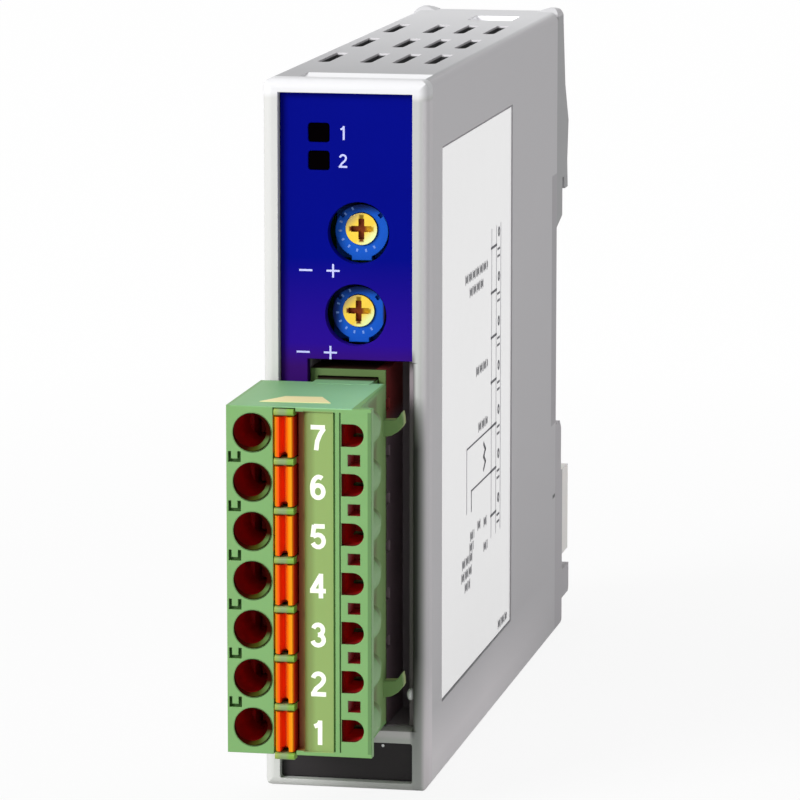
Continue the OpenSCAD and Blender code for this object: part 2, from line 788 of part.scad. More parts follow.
// Cage clamp, current bar and pin socket of one pole
module contact_clamp(z) {
    t = 0.45;
    low = plug_back - 1 - 0.1;
    top = clamp_y;
    x0 = plug_l + 1.4;
    x1 = lever_x + 1.5;
    difference() {
        span([x0, top, z - 1.7], [x1, low, z + 1.7]);
        span([x0 + t, top + t, z - 2], [x1 - t, low - t, z + 2]);
    }
    span([x0, low - 0.8, z - 1.2], [header_x + 1.1, low, z + 1.2]);
    difference() {
        span([header_x - 1.1, low - 0.8, z - 1.1], [header_x + 1.1, nose_end - 1.6, z + 1.1]);
        span([header_x - 0.62, low + 0.6, z - 0.62], [header_x + 0.62, nose_end + over, z + 0.62]);
    }
}

module contact_clamps() {
    color(steel) at_front() for (i = [1:POLES]) contact_clamp(pole_z(i));
}

// Press lever: two ridges with a valley between, and a shank in the plug
module lever(i) {
    f = -plug_out - lever_proud;
    z = pole_z(i) + lever_dz;
    h = lever_h/2;
    w = lever_w/2;
    end = lever_end;
    color(orange) at_front() difference() {
        translate([0, 0, z - h]) linear_extrude(2*h)
            polygon([[lever_x - w, end], [lever_x - w, f + 0.5], [lever_x - w*0.8, f + 0.1],
                [lever_x - w*0.45, f], [lever_x - w*0.22, f + 0.5], [lever_x - w*0.1, f + 0.9],
                [lever_x + w*0.1, f + 0.9], [lever_x + w*0.22, f + 0.5], [lever_x + w*0.45, f],
                [lever_x + w*0.8, f + 0.1], [lever_x + w, f + 0.5], [lever_x + w, end]]);
        // Slot at the foot of the valley for the tip of a tool
        span([lever_x - w*0.4, f - over, z - h - over], [lever_x + w*0.4, f + 1.8, z - h + 0.4]);
    }
}

module lever_1() { lever(1); }
module lever_2() { lever(2); }
module lever_3() { lever(3); }
module lever_4() { lever(4); }
module lever_5() { lever(5); }
module lever_6() { lever(6); }
module lever_7() { lever(7); }

case_body();
front_frame();
front_panel();
lower_cover();
status_led_1();
status_led_2();
trimmer_base_1();
trimmer_base_2();
trimmer_rotor_1();
trimmer_rotor_2();
terminal_bay();
header_shell();
header_pins();
main_board();
front_board();
board_link();
transformer_core();
transformer_bobbin();
capacitor_1();
capacitor_2();
converter_chip();
isolators();
fuse();
side_label();
rail_latch();
latch_spring();
plug_body();
lever_bars();
contact_clamps();
lever_1();
lever_2();
lever_3();
lever_4();
lever_5();
lever_6();
lever_7();
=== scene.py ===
"""Finishes, printed marks and studio for a slim rail-mounted signal converter.

All lengths are metres in the frame of the CAD: X across the width, Y from the
front to the rail, Z up, with the base at zero.
"""

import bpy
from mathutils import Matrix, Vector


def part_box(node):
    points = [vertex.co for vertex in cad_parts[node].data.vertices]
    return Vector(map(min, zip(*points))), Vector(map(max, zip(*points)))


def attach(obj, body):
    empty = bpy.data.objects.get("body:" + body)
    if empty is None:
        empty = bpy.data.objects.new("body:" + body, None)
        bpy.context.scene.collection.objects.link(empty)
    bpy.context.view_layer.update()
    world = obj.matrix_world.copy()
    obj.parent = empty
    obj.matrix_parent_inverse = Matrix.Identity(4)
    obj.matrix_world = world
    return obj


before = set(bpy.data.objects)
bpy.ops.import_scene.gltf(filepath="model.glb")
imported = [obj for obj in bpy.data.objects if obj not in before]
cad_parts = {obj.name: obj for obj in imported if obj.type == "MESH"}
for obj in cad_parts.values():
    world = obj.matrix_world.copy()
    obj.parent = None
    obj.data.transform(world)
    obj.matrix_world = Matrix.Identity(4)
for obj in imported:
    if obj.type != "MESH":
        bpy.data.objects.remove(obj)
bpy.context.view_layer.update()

import math

import bmesh
import bpy
from mathutils import Matrix, Vector

bl_info = {
    "name": "Rail Converter Finishes",
    "version": (1, 0, 0),
    "blender": (4, 5, 0),
    "location": "View3D > Sidebar > Converter",
    "description": "Finishes, printed marks and studio for a slim rail-mounted converter",
    "category": "Object",
}

MM = 0.001
POLES = 7
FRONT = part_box("front_frame")[0].y
LEVERS = [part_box(f"lever_{pole}") for pole in range(1, POLES + 1)]
LEVER_X = (LEVERS[0][0].x + LEVERS[0][1].x)/2
LEVER_Z = [(low.z + high.z)/2 for low, high in LEVERS]
PITCH = LEVER_Z[1] - LEVER_Z[0]
PLUG_LOW, PLUG_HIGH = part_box("plug_body")
PLUG_TOP = PLUG_HIGH.z - 0.03*MM
PLUG_FACE = PLUG_LOW.y
STRIP_FACE = PLUG_FACE + 0.2*MM
POLE_Z = [z + 0.35*MM for z in LEVER_Z]
PANEL_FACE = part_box("front_panel")[0].y
BODY_HIGH = Vector((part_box("case_body")[1].x, 0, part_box("front_frame")[1].z))
LABEL_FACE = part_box("side_label")[1].x
ENTRY_X = PLUG_LOW.x + 2.67*MM
CAMERA_PLACE = Vector((106.4, -543.75, 127.6))*MM
CAMERA_TARGET = Vector((5.81, -36.85, 41.78))*MM
CAMERA_LENS = 227.05


def linear(code):
    """Turn an sRGB hex code into linear red, green and blue with full opacity."""
    parts = [int(code[i:i + 2], 16)/255 for i in (1, 3, 5)]
    return tuple(c/12.92 if c <= 0.04045 else ((c + 0.055)/1.055)**2.4 for c in parts) + (1.0,)


def add(tree, kind, links=None, **settings):
    """Add one node. links gives each input, by name or number, a value, a hex colour or an
    output to join."""
    node = tree.nodes.new(kind)
    for key, value in settings.items():
        setattr(node, key, value)
    for socket, value in (links or {}).items():
        if isinstance(value, bpy.types.NodeSocket):
            tree.links.new(value, node.inputs[socket])
        else:
            node.inputs[socket].default_value = linear(value) if isinstance(value, str) else value
    return node


def slope(tree, vector, axis, low, high):
    """A mask along an axis: 0 up to low and 1 from high on, where low may be the larger."""
    parts = add(tree, "ShaderNodeSeparateXYZ", {0: vector}).outputs
    mask = add(tree, "ShaderNodeMapRange", {
        "Value": parts[axis], "From Min": low, "From Max": high})
    return mask.outputs[0]


def inside(tree, vector, low, high, soft=0.05*MM):
    """A mask: 1 inside the box from low to high, 0 outside, with an edge as soft as given."""
    centre = [(a + b)/2 for a, b in zip(low, high)]
    half = [(b - a)/2 for a, b in zip(low, high)]
    moved = add(tree, "ShaderNodeVectorMath", {0: vector, 1: centre}, operation="SUBTRACT")
    size = add(tree, "ShaderNodeVectorMath", {0: moved.outputs[0]}, operation="ABSOLUTE")
    past = add(tree, "ShaderNodeVectorMath", {0: size.outputs[0], 1: half}, operation="SUBTRACT")
    parts = add(tree, "ShaderNodeSeparateXYZ", {0: past.outputs[0]}).outputs
    pair = add(tree, "ShaderNodeMath", {0: parts[0], 1: parts[1]}, operation="MAXIMUM")
    most = add(tree, "ShaderNodeMath", {0: pair.outputs[0], 1: parts[2]}, operation="MAXIMUM")
    mask = add(tree, "ShaderNodeMapRange", {
        "Value": most.outputs[0], "From Min": soft, "From Max": -soft})
    return mask.outputs["Result"]


def lay(tree, colour, tone, *masks):
    """Lay a tone over a colour where every mask is 1."""
    share = masks[0]
    for mask in masks[1:]:
        share = add(tree, "ShaderNodeMath", {0: share, 1: mask}, operation="MULTIPLY").outputs[0]
    return add(tree, "ShaderNodeMix", {0: share, 6: colour, 7: tone}, data_type="RGBA").outputs[2]


def finish(name, low, high, rough, grain, depth, patch=6.0, edge=0.12, specular=0.4,
           metallic=0.0, coat=0.0, glow=0.0, paint=None):
    """One finish. low and high are the two tones that drift over patches of the given
    size; grain and depth are the size and height of the surface's texture, and edge the
    radius of its small edge rounding, all in millimetres. paint changes the colour."""
    material = bpy.data.materials.new(name)
    material.use_nodes = True
    tree = material.node_tree
    tree.nodes.clear()
    place = add(tree, "ShaderNodeTexCoord").outputs["Object"]
    drift = add(tree, "ShaderNodeTexNoise", {
        "Vector": place, "Scale": 1/(patch*MM), "Detail": 3.0})
    colour = lay(tree, low, high, drift.outputs["Fac"])
    if paint:
        colour = paint(tree, place, colour)
    sheen = add(tree, "ShaderNodeMapRange", {
        "Value": drift.outputs["Fac"], "To Min": rough - 0.06, "To Max": rough + 0.06})
    grains = add(tree, "ShaderNodeTexNoise", {
        "Vector": place, "Scale": 1/(grain*MM), "Detail": 2.0})
    edges = add(tree, "ShaderNodeBevel", {"Radius": edge*MM}, samples=4)
    relief = add(tree, "ShaderNodeBump", {
        "Height": grains.outputs["Fac"], "Distance": depth*MM, "Strength": 1.0,
        "Normal": edges.outputs[0]})
    shader = add(tree, "ShaderNodeBsdfPrincipled", {
        "Base Color": colour, "Roughness": sheen.outputs["Result"], "Normal": relief.outputs[0],
        "Metallic": metallic, "Specular IOR Level": specular, "Coat Weight": coat,
        "Subsurface Weight": glow})
    if glow:
        shader.inputs["Subsurface Radius"].default_value = (1.0, 0.35, 0.15)
        shader.inputs["Subsurface Scale"].default_value = 0.6*MM
    add(tree, "ShaderNodeOutputMaterial", {"Surface": shader.outputs[0]})
    return material


def wear(material, *names):
    """Give CAD nodes a material by their slots."""
    for name in names:
        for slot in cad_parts[name].material_slots:
            slot.material = material


def piece(name, mesh, material, body):
    """Make a finished object from a mesh that already lies in its place."""
    mesh.name = name
    mesh.materials.clear()
    mesh.materials.append(material)
    thing = bpy.data.objects.new(name, mesh)
    bpy.context.scene.collection.objects.link(thing)
    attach(thing, body)


def from_nodes(tree, values):
    """Evaluate a geometry tree once and return its result as a plain mesh."""
    carrier = bpy.data.objects.new("carrier", bpy.data.meshes.new("carrier"))
    bpy.context.scene.collection.objects.link(carrier)
    modifier = carrier.modifiers.new("make", "NODES")
    modifier.node_group = tree
    for item in tree.interface.items_tree:
        if item.in_out == "INPUT" and item.name in values:
            modifier[item.identifier] = values[item.name]
    graph = bpy.context.evaluated_depsgraph_get()
    mesh = bpy.data.meshes.new_from_object(carrier.evaluated_get(graph))
    carrier.modifiers.clear()
    bpy.data.objects.remove(carrier, do_unlink=True)
    if not mesh.polygons:
        raise RuntimeError(f"{tree.name} made nothing")
    return mesh


def new_tree(name, inputs):
    """An empty geometry tree with named inputs; returns the tree and its input node."""
    tree = bpy.data.node_groups.new(name, "GeometryNodeTree")
    tree.interface.new_socket("Geometry", in_out="OUTPUT", socket_type="NodeSocketGeometry")
    for label, kind in inputs:
        tree.interface.new_socket(label, in_out="INPUT", socket_type=f"NodeSocket{kind}")
    return tree, add(tree, "NodeGroupInput").outputs


def close_tree(tree, geometry, material):
    """End a geometry tree in Realize Instances and Set Material."""
    real = add(tree, "GeometryNodeRealizeInstances", {"Geometry": geometry})
    dressed = add(tree, "GeometryNodeSetMaterial", {
        "Geometry": real.outputs[0], "Material": material})
    add(tree, "NodeGroupOutput", {"Geometry": dressed.outputs[0]})


def tick_arc_tree():
    """Small bars that point at a centre, spaced evenly along an arc."""
    tree, given = new_tree("tick_arc", [
        ("Radius", "Float"), ("Tick Length", "Float"), ("Tick Width", "Float"),
        ("Ink", "Float"), ("Count", "Int"), ("Start", "Float"), ("Sweep", "Float"),
        ("Material", "Material")])
    arc = add(tree, "GeometryNodeCurveArc", {
        "Resolution": given["Count"], "Radius": given["Radius"], "Start Angle": given["Start"],
        "Sweep Angle": given["Sweep"]})
    points = add(tree, "GeometryNodeCurveToPoints", {"Curve": arc.outputs[0]}, mode="EVALUATED")
    place = add(tree, "GeometryNodeInputPosition").outputs[0]
    parts = add(tree, "ShaderNodeSeparateXYZ", {0: place}).outputs
    angle = add(tree, "ShaderNodeMath", {0: parts[1], 1: parts[0]}, operation="ARCTAN2")
    turn = add(tree, "ShaderNodeCombineXYZ", {2: angle.outputs[0]})
    facing = add(tree, "FunctionNodeEulerToRotation", {0: turn.outputs[0]})
    size = add(tree, "ShaderNodeCombineXYZ", {
        0: given["Tick Length"], 1: given["Tick Width"], 2: given["Ink"]})
    bar = add(tree, "GeometryNodeMeshCube", {"Size": size.outputs[0]})
    copies = add(tree, "GeometryNodeInstanceOnPoints", {
        "Points": points.outputs[0], "Instance": bar.outputs[0], "Rotation": facing.outputs[0]})
    close_tree(tree, copies.outputs[0], given["Material"])
    return tree


def ring_row_tree():
    """A straight row of flat rings."""
    tree, given = new_tree("ring_row", [
        ("Count", "Int"), ("Step", "Float"), ("Radius", "Float"), ("Line", "Float"),
        ("Ink", "Float"), ("Material", "Material")])
    offset = add(tree, "ShaderNodeCombineXYZ", {1: given["Step"]})
    row = add(tree, "GeometryNodeMeshLine", {
        "Count": given["Count"], "Offset": offset.outputs[0]}, mode="OFFSET")
    loop = add(tree, "GeometryNodeCurvePrimitiveCircle", {
        "Resolution": 20, "Radius": given["Radius"]})
    profile = add(tree, "GeometryNodeCurvePrimitiveQuadrilateral", {
        "Width": given["Line"], "Height": given["Ink"]})
    ring = add(tree, "GeometryNodeCurveToMesh", {
        "Curve": loop.outputs[0], "Profile Curve": profile.outputs[0]})
    copies = add(tree, "GeometryNodeInstanceOnPoints", {
        "Points": row.outputs[0], "Instance": ring.outputs[0]})
    close_tree(tree, copies.outputs[0], given["Material"])
    return tree


def funnel_row_tree():
    """A column of wire entries: each a short funnel whose narrow end lies off its centre."""
    tree, given = new_tree("funnel_row", [
        ("Count", "Int"), ("Step", "Float"), ("Mouth", "Float"), ("Throat", "Float"),
        ("Depth", "Float"), ("Across", "Float"), ("Up", "Float"), ("Material", "Material")])
    offset = add(tree, "ShaderNodeCombineXYZ", {2: given["Step"]})
    column = add(tree, "GeometryNodeMeshLine", {
        "Count": given["Count"], "Offset": offset.outputs[0]}, mode="OFFSET")
    wall = add(tree, "GeometryNodeMeshCylinder", {
        "Vertices": 48, "Side Segments": 6, "Radius": 1.0, "Depth": 1.0}, fill_type="NONE")
    place = add(tree, "GeometryNodeInputPosition").outputs[0]
    parts = add(tree, "ShaderNodeSeparateXYZ", {0: place}).outputs
    # 0 at the mouth and 1 at the throat
    down = add(tree, "ShaderNodeMath", {0: 0.5, 1: parts[2]}, operation="SUBTRACT").outputs[0]
    eased = add(tree, "ShaderNodeMath", {0: down, 1: 0.6}, operation="POWER").outputs[0]
    radius = add(tree, "ShaderNodeMapRange", {
        "Value": eased, "To Min": given["Mouth"], "To Max": given["Throat"]})
    sides = []
    for axis, shift in ((0, given["Across"]), (1, given["Up"])):
        spread = add(tree, "ShaderNodeMath", {0: parts[axis], 1: radius.outputs[0]},
                     operation="MULTIPLY")
        moved = add(tree, "ShaderNodeMath", {0: eased, 1: shift, 2: spread.outputs[0]},
                    operation="MULTIPLY_ADD")
        sides.append(moved.outputs[0])
    deep = add(tree, "ShaderNodeMath", {0: down, 1: given["Depth"]}, operation="MULTIPLY")
    point = add(tree, "ShaderNodeCombineXYZ", {0: sides[0], 1: deep.outputs[0], 2: sides[1]})
    funnel = add(tree, "GeometryNodeSetPosition", {
        "Geometry": wall.outputs[0], "Position": point.outputs[0]})
    copies = add(tree, "GeometryNodeInstanceOnPoints", {
        "Points": column.outputs[0], "Instance": funnel.outputs[0]})
    close_tree(tree, copies.outputs[0], given["Material"])
    return tree


def slab(shape, corners, axis, face, thick):
    """Add a thin flat slab to a bmesh: corners lie in the plane at face across the axis
    X, Y or Z, and thick is its height along that axis, with its sign."""
    def at(corner, level):
        a, b = corner
        return {"X": (level, a, b), "Y": (a, level, b), "Z": (a, b, level)}[axis]
    under = [shape.verts.new(at(corner, face)) for corner in corners]
    upper = [shape.verts.new(at(corner, face + thick)) for corner in corners]
    shape.faces.new(under)
    shape.faces.new(upper)
    for k in range(len(corners)):
        j = (k + 1) % len(corners)
        shape.faces.new((under[k], under[j], upper[j], upper[k]))


def rounded(low, high, radius, steps=6):
    """Corners of a rounded rectangle."""
    (a0, b0), (a1, b1) = low, high
    centres = [(a1 - radius, b1 - radius, 0), (a0 + radius, b1 - radius, 90),
               (a0 + radius, b0 + radius, 180), (a1 - radius, b0 + radius, 270)]
    return [(a + radius*math.cos(math.radians(start + 90*k/steps)),
             b + radius*math.sin(math.radians(start + 90*k/steps)))
            for a, b, start in centres for k in range(steps + 1)]


def stroke(start, end, width):
    """Corners of a straight printed line."""
    (a0, b0), (a1, b1) = start, end
    reach = math.hypot(a1 - a0, b1 - b0)
    da, db = (a1 - a0)/reach*width/2, (b1 - b0)/reach*width/2
    return [(a0 - da + db, b0 - db - da), (a1 + da + db, b1 + db - da),
            (a1 + da - db, b1 + db + da), (a0 - da - db, b0 - db + da)]


def solid(shape):
    """Turn a bmesh into a mesh with its faces pointing outwards."""
    bmesh.ops.recalc_face_normals(shape, faces=shape.faces)
    mesh = bpy.data.meshes.new("solid")
    shape.to_mesh(mesh)
    shape.free()
    return mesh


def bow(x, z, across, up, start, end, steps=10):
    """Points on an arc of an ellipse, from one angle to another in degrees."""
    turns = [math.radians(start + (end - start)*k/steps) for k in range(steps + 1)]
    return [(x + across*math.cos(a), z + up*math.sin(a)) for a in turns]


# Centre lines of plain upright numerals, one unit high, with the middle at zero
STROKES = {
    "1": [[(-0.17, 0.25), (-0.03, 0.31), (0.06, 0.42)], [(0.06, 0.5), (0.06, -0.5)]],
    "2": [bow(0.0, 0.2, 0.22, 0.22, 170, -25) + [(0.11, -0.02), (-0.1, -0.2), (-0.22, -0.42)],
          [(-0.3, -0.42), (0.31, -0.42)]],
    "3": [bow(-0.01, 0.21, 0.2, 0.21, 165, -90), bow(-0.01, -0.2, 0.23, 0.22, 90, -168)],
    "4": [[(0.11, 0.5), (0.11, -0.5)], [(0.08, 0.4), (-0.26, -0.19)],
          [(-0.33, -0.2), (0.31, -0.2)]],
    "5": [[(0.27, 0.42), (-0.17, 0.42)], [(-0.16, 0.47), (-0.22, -0.02)],
          [(-0.2, 0.0)] + bow(0.0, -0.17, 0.23, 0.25, 118, -160)],
    "6": [bow(0.0, -0.17, 0.22, 0.25, 90, 450, 20), bow(0.03, 0.0, 0.26, 0.42, 58, 205)],
    "7": [[(-0.29, 0.42), (0.29, 0.42)],
          [(0.25, 0.38), (0.09, 0.14), (-0.02, -0.13), (-0.07, -0.5)]],
}


def ribbon(shape, path, width, place):
    """Add a flat band of even width along a path to a bmesh; place turns a point of the
    plane and a level of 0 or 1 into a point of space."""
    sides = []
    closed = math.dist(path[0], path[-1]) < 1e-6
    for k, (a, b) in enumerate(path):
        before = path[k - 1] if k else (path[-2] if closed else path[0])
        after = path[k + 1] if k + 1 < len(path) else (path[1] if closed else path[-1])
        reach = math.hypot(after[0] - before[0], after[1] - before[1])
        da, db = (after[0] - before[0])/reach*width/2, (after[1] - before[1])/reach*width/2
        sides.append(((a - db, b + da), (a + db, b - da)))
    rows = [[shape.verts.new(place(point, level)) for point in pair for level in (0, 1)]
            for pair in sides]
    for one, two in zip(rows, rows[1:]):
        for low, high in ((1, 3), (3, 2), (2, 0), (0, 1)):
            shape.faces.new((one[low], one[high], two[high], two[low]))
    for end in (rows[0], rows[-1]):
        shape.faces.new((end[0], end[1], end[3], end[2]))


def numerals(entries, face, ink, weight):
    """One mesh of plain numerals that stand on a face across Y. Each entry has its numeral,
    the middle X, the middle Z and the height; weight is a stroke's width for a height of 1."""
    shape = bmesh.new()
    for text, x, z, height in entries:
        for number, path in enumerate(STROKES[text]):
            # Bands that cross lie a hair apart, so that no two faces share one plane
            top = ink*(1 + 0.08*number)
            ribbon(shape, path, weight, lambda point, level: (
                x + point[0]*height, face - level*top, z + point[1]*height))
    return solid(shape)


def length_field(label, note, value):
    """A length property in metres."""
    return bpy.props.FloatProperty(name=label, description=note, default=value, unit="LENGTH",
                                   precision=5)


class ConverterMarks(bpy.types.PropertyGroup):
    """Sizes of what is printed."""
    number_height: length_field("Number height", "Height of the plug's pole numbers", 2.55*MM)
    panel_height: length_field("Lamp number height", "Height of the lamps' numbers", 1.45*MM)
    ink: length_field("Ink", "Thickness of the printed layer", 0.02*MM)
    line: length_field("Label line", "Width of a line on the side label", 0.24*MM)


class ConverterStudio(bpy.types.PropertyGroup):
    """Light and floor."""
    key: bpy.props.FloatProperty(name="Key light", description="Power of the front light",
                                 default=20.0, min=0.0, subtype="POWER")
    room: bpy.props.FloatProperty(name="Room light", description="Strength of the even light",
                                  default=0.45, min=0.0)
    white: bpy.props.FloatProperty(name="White floor", description="How white the floor looks",
                                   default=0.9, min=0.0, max=1.0, subtype="FACTOR")


def by_pole(tree, place, shift):
    """The place with Z measured from the nearest pole, or from a line that lies above it by
    the given share of the pitch: 0.5 is the gap between two poles."""
    parts = add(tree, "ShaderNodeSeparateXYZ", {0: place}).outputs
    apart = add(tree, "ShaderNodeMath", {0: parts[2], 1: POLE_Z[0] + shift*PITCH},
                operation="SUBTRACT")
    wrapped = add(tree, "ShaderNodeMath", {0: apart.outputs[0], 1: PITCH/2, 2: -PITCH/2},
                  operation="WRAP")
    moved = add(tree, "ShaderNodeCombineXYZ", {0: parts[0], 1: parts[1], 2: wrapped.outputs[0]})
    return moved.outputs[0]


def plug_tint(tree, place, colour):
    """The plug, in painted light and shade: a top lit cooler and paler, maroon painted shade inside
    its holes, a number strip that darkens towards the groove, fingers lit paler, and painted soft
    shade between the bosses on its right side."""
    left, tall = PLUG_LOW.x, 35.6*MM
    body = inside(tree, place, (-1, -1, PLUG_TOP - tall), (1, 1, PLUG_TOP - 0.35*MM))
    between = inside(tree, place, (-1, -1, POLE_Z[0]), (1, 1, POLE_Z[-1]))
    pole, gap, hollow = [by_pole(tree, place, shift) for shift in (0.0, 0.5, 0.32)]
    # Tones that drift along an axis, between two distances in millimetres: painted light on the
    # fingers and the top, painted shade on the strip, in the groove and inside the holes
    finger, strip, groove, cool, inner, test = [
        lay(tree, low, high, slope(tree, place, axis, start + near*MM, start + far*MM))
        for low, high, axis, start, near, far in (
            ("#A4B274", "#BCCC9A", 0, left, 14.5, 17), ("#87A25D", "#5E6230", 0, left, 9.2, 7.9),
            ("#8A1C08", "#9A7E44", 0, left, 7.05, 7.95), ("#7CAE73", "#8FC696", 0, left, 1, 12),
            ("#74100F", "#D2191C", 1, PLUG_FACE, 0.3, 4),
            ("#521010", "#F6241F", 1, PLUG_FACE, 0.3, 3))]
    # Painted light: the top face is cooler and paler
    top = inside(tree, place, (left + 0.35*MM, -1, PLUG_TOP - 0.1*MM),
                 (left + 13*MM, 1, 1), 0.06*MM)
    colour = lay(tree, colour, cool, top)
    # Painted shade on the top of the nose, where it runs in under the header's roof
    colour = lay(tree, colour, "#24100A", slope(tree, place, 1, FRONT, FRONT + 0.8*MM),
                 slope(tree, place, 2, PLUG_TOP - 0.15*MM, PLUG_TOP - 0.05*MM))
    # Across and deep in millimetres from the plug's left edge and its face, half in metres:
    # the strip, painted shade at the edge of the front plate, painted olive shade on the right
    # side, its fingers lit paler and painted shade in its hollows, painted orange light thrown by
    # the lever on the wall of each pocket, maroon painted shade in the wire entries, lever pockets
    # and groove, the test holes and square holes, and the small marks in a green that lifts the
    # shade in their grooves
    for tone, space, across, deep, half, soft in (
            (strip, place, (7.93, 11.05), (-1, 0.9), 1.0, 0.05),
            ("#5B814D", place, (14.6, 15.4), (-1, 0.1), 1.0, 0.05),
            ("#7C9C62", place, (12.6, 21), (9.5, 40), 1.0, 0.8),
            (finger, place, (13.35, 21), (15, 22), 1.0, 0.1),
            ("#62603C", hollow, (13.0, 14.4), (5.8, 10.2), 0.7*MM, 0.9),
            ("#FFC040", pole, (4.6, 4.9), (0.12, 2), 2.05*MM, 0.05),
            (inner, pole, (0.6, 4.72), (0.12, 15.6), 2.05*MM, 0.05),
            (inner, place, (4.76, 7.02), (1.9, 15.6), 1.0, 0.05),
            (groove, place, (7.02, 7.93), (0.16, 15.6), 1.0, 0.05),
            (test, pole, (11.82, 14.1), (0.12, 6.1), 1.22*MM, 0.05),
            (test, pole, (11.82, 13.7), (6.0, 7.2), 0.95*MM, 0.05),
            ("#8E0E12", gap, (12.4, 13.95), (0.12, 3.1), 0.66*MM, 0.05),
            ("#507A3A", gap, (0.1, 1.6), (0.06, 1), 0.62*MM, 0.03)):
        mask = inside(tree, space, (left + across[0]*MM, PLUG_FACE + deep[0]*MM, -half),
                      (left + across[1]*MM, PLUG_FACE + deep[1]*MM, half), soft*MM)
        colour = lay(tree, colour, tone, mask, between if space is gap else body)
    return colour


def lower_right(tree, place):
    """A vector whose X is the distance towards the lower right."""
    aslant = add(tree, "ShaderNodeVectorMath", {0: place, 1: (0.7, 0, -0.7)},
                 operation="DOT_PRODUCT")
    return add(tree, "ShaderNodeCombineXYZ", {0: aslant.outputs["Value"]}).outputs[0]


def entry_tint(tree, place, colour):
    """The mouth of a wire entry, all in painted shade: maroon with a dark border, and olive at its
    lower right.
    """
    pole = add(tree, "ShaderNodeVectorMath", {0: by_pole(tree, place, 0.0), 1: (ENTRY_X, 0, 0)},
               operation="SUBTRACT").outputs[0]
    border = slope(tree, place, 1, PLUG_FACE + 0.05*MM, PLUG_FACE + 0.02*MM)
    olive = lay(tree, "#3C4212", "#5A7A44", slope(tree, pole, 0, 0.5*MM, 1.7*MM))
    colour = lay(tree, "#300904", olive, slope(tree, lower_right(tree, pole), 0, 0.8*MM, 1.5*MM),
                 slope(tree, pole, 2, -0.2*MM, -0.9*MM))
    return lay(tree, colour, "#1E1806", border)


def bar_tint(tree, place, colour):
    """The bars between the levers, in painted light and shade: yellowish on the left, greyish in
    the middle.
    """
    grey = slope(tree, place, 0, LEVER_X - 0.9*MM, LEVER_X - 0.3*MM)
    right = slope(tree, place, 0, LEVER_X + 0.1*MM, LEVER_X + 0.5*MM)
    return lay(tree, lay(tree, "#90A347", "#7B9362", grey), "#75A03B", right)


def header_tint(tree, place, colour):
    """The header: olive on its front edge, dark brown painted shade inside, and on its right side a
    painted soft shade that turns reddish at the head."""
    low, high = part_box("header_shell")
    behind = slope(tree, place, 1, low.y + 0.2*MM, low.y + 0.5*MM)
    head = slope(tree, place, 2, high.z - 6.5*MM, high.z - 4.5*MM)
    right = slope(tree, place, 0, high.x - 1.2*MM, high.x - 1*MM)
    colour = lay(tree, colour, "#4A2820", behind)
    return lay(tree, colour, lay(tree, "#9A848E", "#AE4543", head), behind, right)


def shell_tint(tree, place, colour):
    """The shell, in painted light and shade: dark walls inside the vents, a top that lightens
    towards the back, a bright step and a highlight in the pocket, and a right side that lightens
    towards the foot, darkens on the rear block and has a painted dark dot for a pin hole low down."""
    top, width = BODY_HIGH.z, BODY_HIGH.x
    normal = add(tree, "ShaderNodeNewGeometry").outputs["Normal"]
    # Painted light: the top lightens towards the back
    level = lay(tree, "#A9A9AB", "#D3D3D5", slope(tree, place, 1, FRONT + 8*MM, FRONT + 76*MM))
    colour = lay(tree, colour, level, slope(tree, normal, 2, 0.75, 0.95))
    # Painted light low on the right side, fading out towards the back
    colour = lay(tree, colour, "#F4F0F3", slope(tree, place, 2, 8.5*MM, 3*MM),
                 slope(tree, place, 1, FRONT + 80*MM, FRONT + 35*MM),
                 slope(tree, normal, 0, 0.2, 0.6))
    # Painted shade on the walls inside the vents
    for drop, steep, flat in ((0.4, 0.6, 0.2), (0.22, 0.85, 0.75)):
        vents = inside(tree, place, (-width + 1.2*MM, FRONT + 12*MM, top - 1.9*MM),
                       (width - 1.2*MM, FRONT + 68*MM, top - drop*MM))
        colour = lay(tree, colour, "#1E1E20", vents, slope(tree, normal, 2, steep, flat))
    # Painted shade on the rear block above the middle, on its front strip and, lighter, on its
    # foot, a painted highlight on the step and in the pocket, and a painted dark dot for the pin
    # hole: each from a low to a high corner in millimetres, with Y from the front
    for low, high, tone, soft in (
            ((8.2, 81, 30), (9, 100, 74.5), "#ABABAD", 0.1),
            ((8.2, 77.6, 26), (9, 81, 56), "#B2AFB3", 0.1),
            ((8.2, 80.8, -0.5), (9, 100, 30), "#C0BDC1", 0.1),
            ((-5.3, 2.65, 73.8), (7.9, 7.1, 80), "#F2F2F4", 0.05),
            ((-0.2, 69.9, 74), (5.2, 76.3, 74.97), "#FCFCFE", 0.02),
            ((8.6, 79, 17), (9, 80.7, 17.4), "#58585A", 0.1)):
        box = [tuple(v*MM + shift for v, shift in zip(corner, (0, FRONT, 0)))
               for corner in (low, high)]
        colour = lay(tree, colour, tone, inside(tree, place, *box, soft*MM))
    return colour


